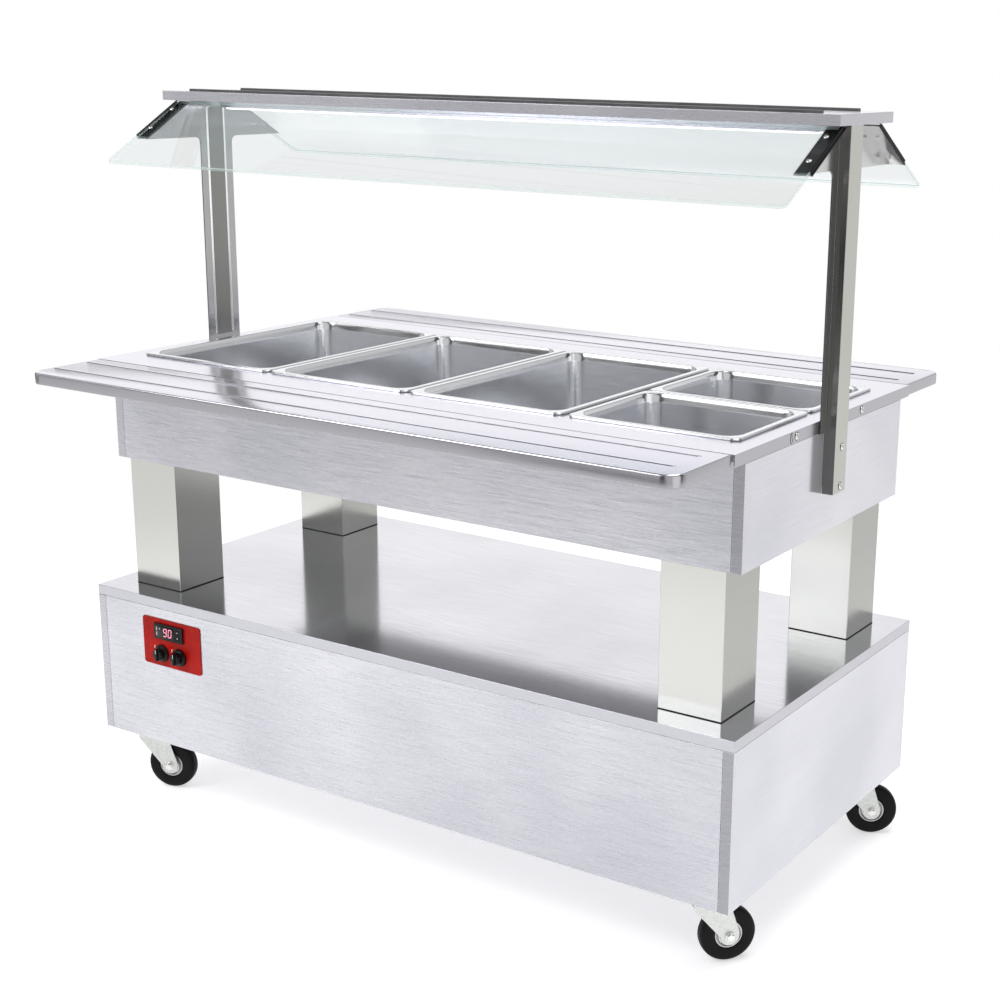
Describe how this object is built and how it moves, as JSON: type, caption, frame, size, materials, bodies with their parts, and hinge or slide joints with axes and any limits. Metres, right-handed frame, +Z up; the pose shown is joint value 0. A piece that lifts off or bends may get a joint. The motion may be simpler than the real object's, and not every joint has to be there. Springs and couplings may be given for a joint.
{
  "type": "steam table unit",
  "caption": "Mobile heated buffet: wood-panelled base on casters, four legs, a well with lift-out pans, folding tray slides and a lit canopy with slanted glass sneeze guards.",
  "frame": {"origin": "on the floor under the middle of the plan, where the casters stand", "axes": "+X along the length to the customer's right, +Y to the rear, +Z up; the control plate is on the front, -Y"},
  "size_m": [1.474, 1.0372, 1.4],
  "materials": {
    "lacquer_board": "silver wood-grain lacquer, glossy",
    "counter_steel": "bright satin stainless",
    "leg_steel": "vertical brushed stainless",
    "post_steel": "brushed stainless",
    "bracket_steel": "brushed stainless",
    "pan_steel": "bright pressed stainless",
    "tank_steel": "satin stainless",
    "element_steel": "oxidised tubular sheath",
    "valve_brass": "cast, dull",
    "lever_red": "dipped sleeve",
    "guard_glass": "clear, faint green edge",
    "led_lens": "white lens",
    "red_plate": "satin red",
    "display_plastic": "black moulding",
    "knob_plastic": "black moulding",
    "caster_zinc": "zinc plated pressing",
    "tyre_rubber": "black rubber tyre on a zinc hub disc"
  },
  "bodies": {
    "frame": {"base_top": "lacquer_board", "base_left_panel": "lacquer_board", "base_right_panel": "lacquer_board", "base_front_panel": "lacquer_board", "base_rear_panel": "lacquer_board", "base_floor": "lacquer_board", "body_left_panel": "lacquer_board", "body_right_panel": "lacquer_board", "body_front_panel": "lacquer_board", "body_rear_panel": "lacquer_board", "body_floor": "lacquer_board", "canopy_board": "lacquer_board", "counter_top": "counter_steel", "leg_front_left": "leg_steel", "leg_front_right": "leg_steel", "leg_rear_left": "leg_steel", "leg_rear_right": "leg_steel", "guard_post_left": "post_steel", "guard_post_right": "post_steel", "guard_bracket_left": "bracket_steel", "guard_bracket_right": "bracket_steel", "water_tank": "tank_steel", "pan_grid": "tank_steel", "slide_hinge_pin_front": "tank_steel", "slide_hinge_pin_rear": "tank_steel", "heating_element": "element_steel", "drain_valve": "valve_brass", "glass_front": "guard_glass", "glass_rear": "guard_glass", "led_strip": "led_lens", "control_plate": "red_plate", "thermostat": "display_plastic", "switch_block": "knob_plastic", "power_inlet": "knob_plastic", "caster_plate_front_left": "caster_zinc", "caster_plate_front_right": "caster_zinc", "caster_plate_rear_left": "caster_zinc", "caster_plate_rear_right": "caster_zinc"},
    "swivel_front_left": {"caster_fork_front_left": "caster_zinc"},
    "wheel_front_left": {"caster_wheel_front_left": "tyre_rubber"},
    "pedal_front_left": {"brake_pedal_front_left": "knob_plastic"},
    "swivel_front_right": {"caster_fork_front_right": "caster_zinc"},
    "wheel_front_right": {"caster_wheel_front_right": "tyre_rubber"},
    "swivel_rear_left": {"caster_fork_rear_left": "caster_zinc"},
    "wheel_rear_left": {"caster_wheel_rear_left": "tyre_rubber"},
    "pedal_rear_left": {"brake_pedal_rear_left": "knob_plastic"},
    "swivel_rear_right": {"caster_fork_rear_right": "caster_zinc"},
    "wheel_rear_right": {"caster_wheel_rear_right": "tyre_rubber"},
    "slide_front": {"tray_slide_front": "counter_steel"},
    "slide_rear": {"tray_slide_rear": "counter_steel"},
    "pan_full_1": {"pan_full_1": "pan_steel"},
    "pan_full_2": {"pan_full_2": "pan_steel"},
    "pan_full_3": {"pan_full_3": "pan_steel"},
    "pan_half_front": {"pan_half_front": "pan_steel"},
    "pan_half_rear": {"pan_half_rear": "pan_steel"},
    "knob_power": {"knob_power": "knob_plastic"},
    "knob_light": {"knob_light": "knob_plastic"},
    "key_up": {"thermostat_key_up": "display_plastic"},
    "key_down": {"thermostat_key_down": "display_plastic"},
    "drain_handle": {"drain_lever": "lever_red"}
  },
  "joints": [
    {"name": "caster_swivel_front_left", "type": "hinge", "parent": "frame", "child": "swivel_front_left", "pos_m": [-0.65, -0.3005, 0.119], "axis": [0, 0, 1], "continuous": true},
    {"name": "wheel_spin_front_left", "type": "hinge", "parent": "swivel_front_left", "child": "wheel_front_left", "pos_m": [-0.61429, -0.2875, 0.05], "axis": [-0.342, 0.9397, 0], "continuous": true},
    {"name": "brake_pedal_press_front_left", "type": "hinge", "parent": "swivel_front_left", "child": "pedal_front_left", "pos_m": [-0.62933, -0.29298, 0.11], "axis": [-0.342, 0.9397, 0], "range_deg": [0, 11]},
    {"name": "caster_swivel_front_right", "type": "hinge", "parent": "frame", "child": "swivel_front_right", "pos_m": [0.65, -0.3005, 0.119], "axis": [0, 0, 1], "continuous": true},
    {"name": "wheel_spin_front_right", "type": "hinge", "parent": "swivel_front_right", "child": "wheel_front_right", "pos_m": [0.67543, -0.27226, 0.05], "axis": [-0.7431, 0.6691, 0], "continuous": true},
    {"name": "caster_swivel_rear_left", "type": "hinge", "parent": "frame", "child": "swivel_rear_left", "pos_m": [-0.65, 0.3005, 0.119], "axis": [0, 0, 1], "continuous": true},
    {"name": "wheel_spin_rear_left", "type": "hinge", "parent": "swivel_rear_left", "child": "wheel_rear_left", "pos_m": [-0.61429, 0.3135, 0.05], "axis": [-0.342, 0.9397, 0], "continuous": true},
    {"name": "brake_pedal_press_rear_left", "type": "hinge", "parent": "swivel_rear_left", "child": "pedal_rear_left", "pos_m": [-0.62933, 0.30802, 0.11], "axis": [-0.342, 0.9397, 0], "range_deg": [0, 11]},
    {"name": "caster_swivel_rear_right", "type": "hinge", "parent": "frame", "child": "swivel_rear_right", "pos_m": [0.65, 0.3005, 0.119], "axis": [0, 0, 1], "continuous": true},
    {"name": "wheel_spin_rear_right", "type": "hinge", "parent": "swivel_rear_right", "child": "wheel_rear_right", "pos_m": [0.68324, 0.31892, 0.05], "axis": [-0.4848, 0.8746, 0], "continuous": true},
    {"name": "tray_slide_fold_front", "type": "hinge", "parent": "frame", "child": "slide_front", "pos_m": [0, -0.3463, 0.8815], "axis": [1, 0, 0], "range_deg": [0, 90]},
    {"name": "tray_slide_fold_rear", "type": "hinge", "parent": "frame", "child": "slide_rear", "pos_m": [0, 0.3463, 0.8815], "axis": [-1, 0, 0], "range_deg": [0, 90]},
    {"name": "pan_full_1_lift", "type": "slide", "parent": "frame", "child": "pan_full_1", "axis": [0, 0, 1], "range_m": [0, 0.2]},
    {"name": "pan_full_2_lift", "type": "slide", "parent": "frame", "child": "pan_full_2", "axis": [0, 0, 1], "range_m": [0, 0.2]},
    {"name": "pan_full_3_lift", "type": "slide", "parent": "frame", "child": "pan_full_3", "axis": [0, 0, 1], "range_m": [0, 0.2]},
    {"name": "pan_half_front_lift", "type": "slide", "parent": "frame", "child": "pan_half_front", "axis": [0, 0, 1], "range_m": [0, 0.2]},
    {"name": "pan_half_rear_lift", "type": "slide", "parent": "frame", "child": "pan_half_rear", "axis": [0, 0, 1], "range_m": [0, 0.2]},
    {"name": "knob_power_turn", "type": "hinge", "parent": "frame", "child": "knob_power", "pos_m": [-0.548, -0.3631, 0.327], "axis": [0, -1, 0], "range_deg": [-90, 0]},
    {"name": "knob_light_turn", "type": "hinge", "parent": "frame", "child": "knob_light", "pos_m": [-0.501, -0.3631, 0.327], "axis": [0, -1, 0], "range_deg": [-90, 0]},
    {"name": "thermostat_key_up_press", "type": "slide", "parent": "frame", "child": "key_up", "axis": [0, 1, 0], "range_m": [0, 0.0008], "stiffness_N_per_m": 600},
    {"name": "thermostat_key_down_press", "type": "slide", "parent": "frame", "child": "key_down", "axis": [0, 1, 0], "range_m": [0, 0.0008], "stiffness_N_per_m": 600},
    {"name": "drain_lever_turn", "type": "hinge", "parent": "frame", "child": "drain_handle", "pos_m": [0.45, 0.172, 0.672], "axis": [0, 1, 0], "range_deg": [0, 90]}
  ]
}
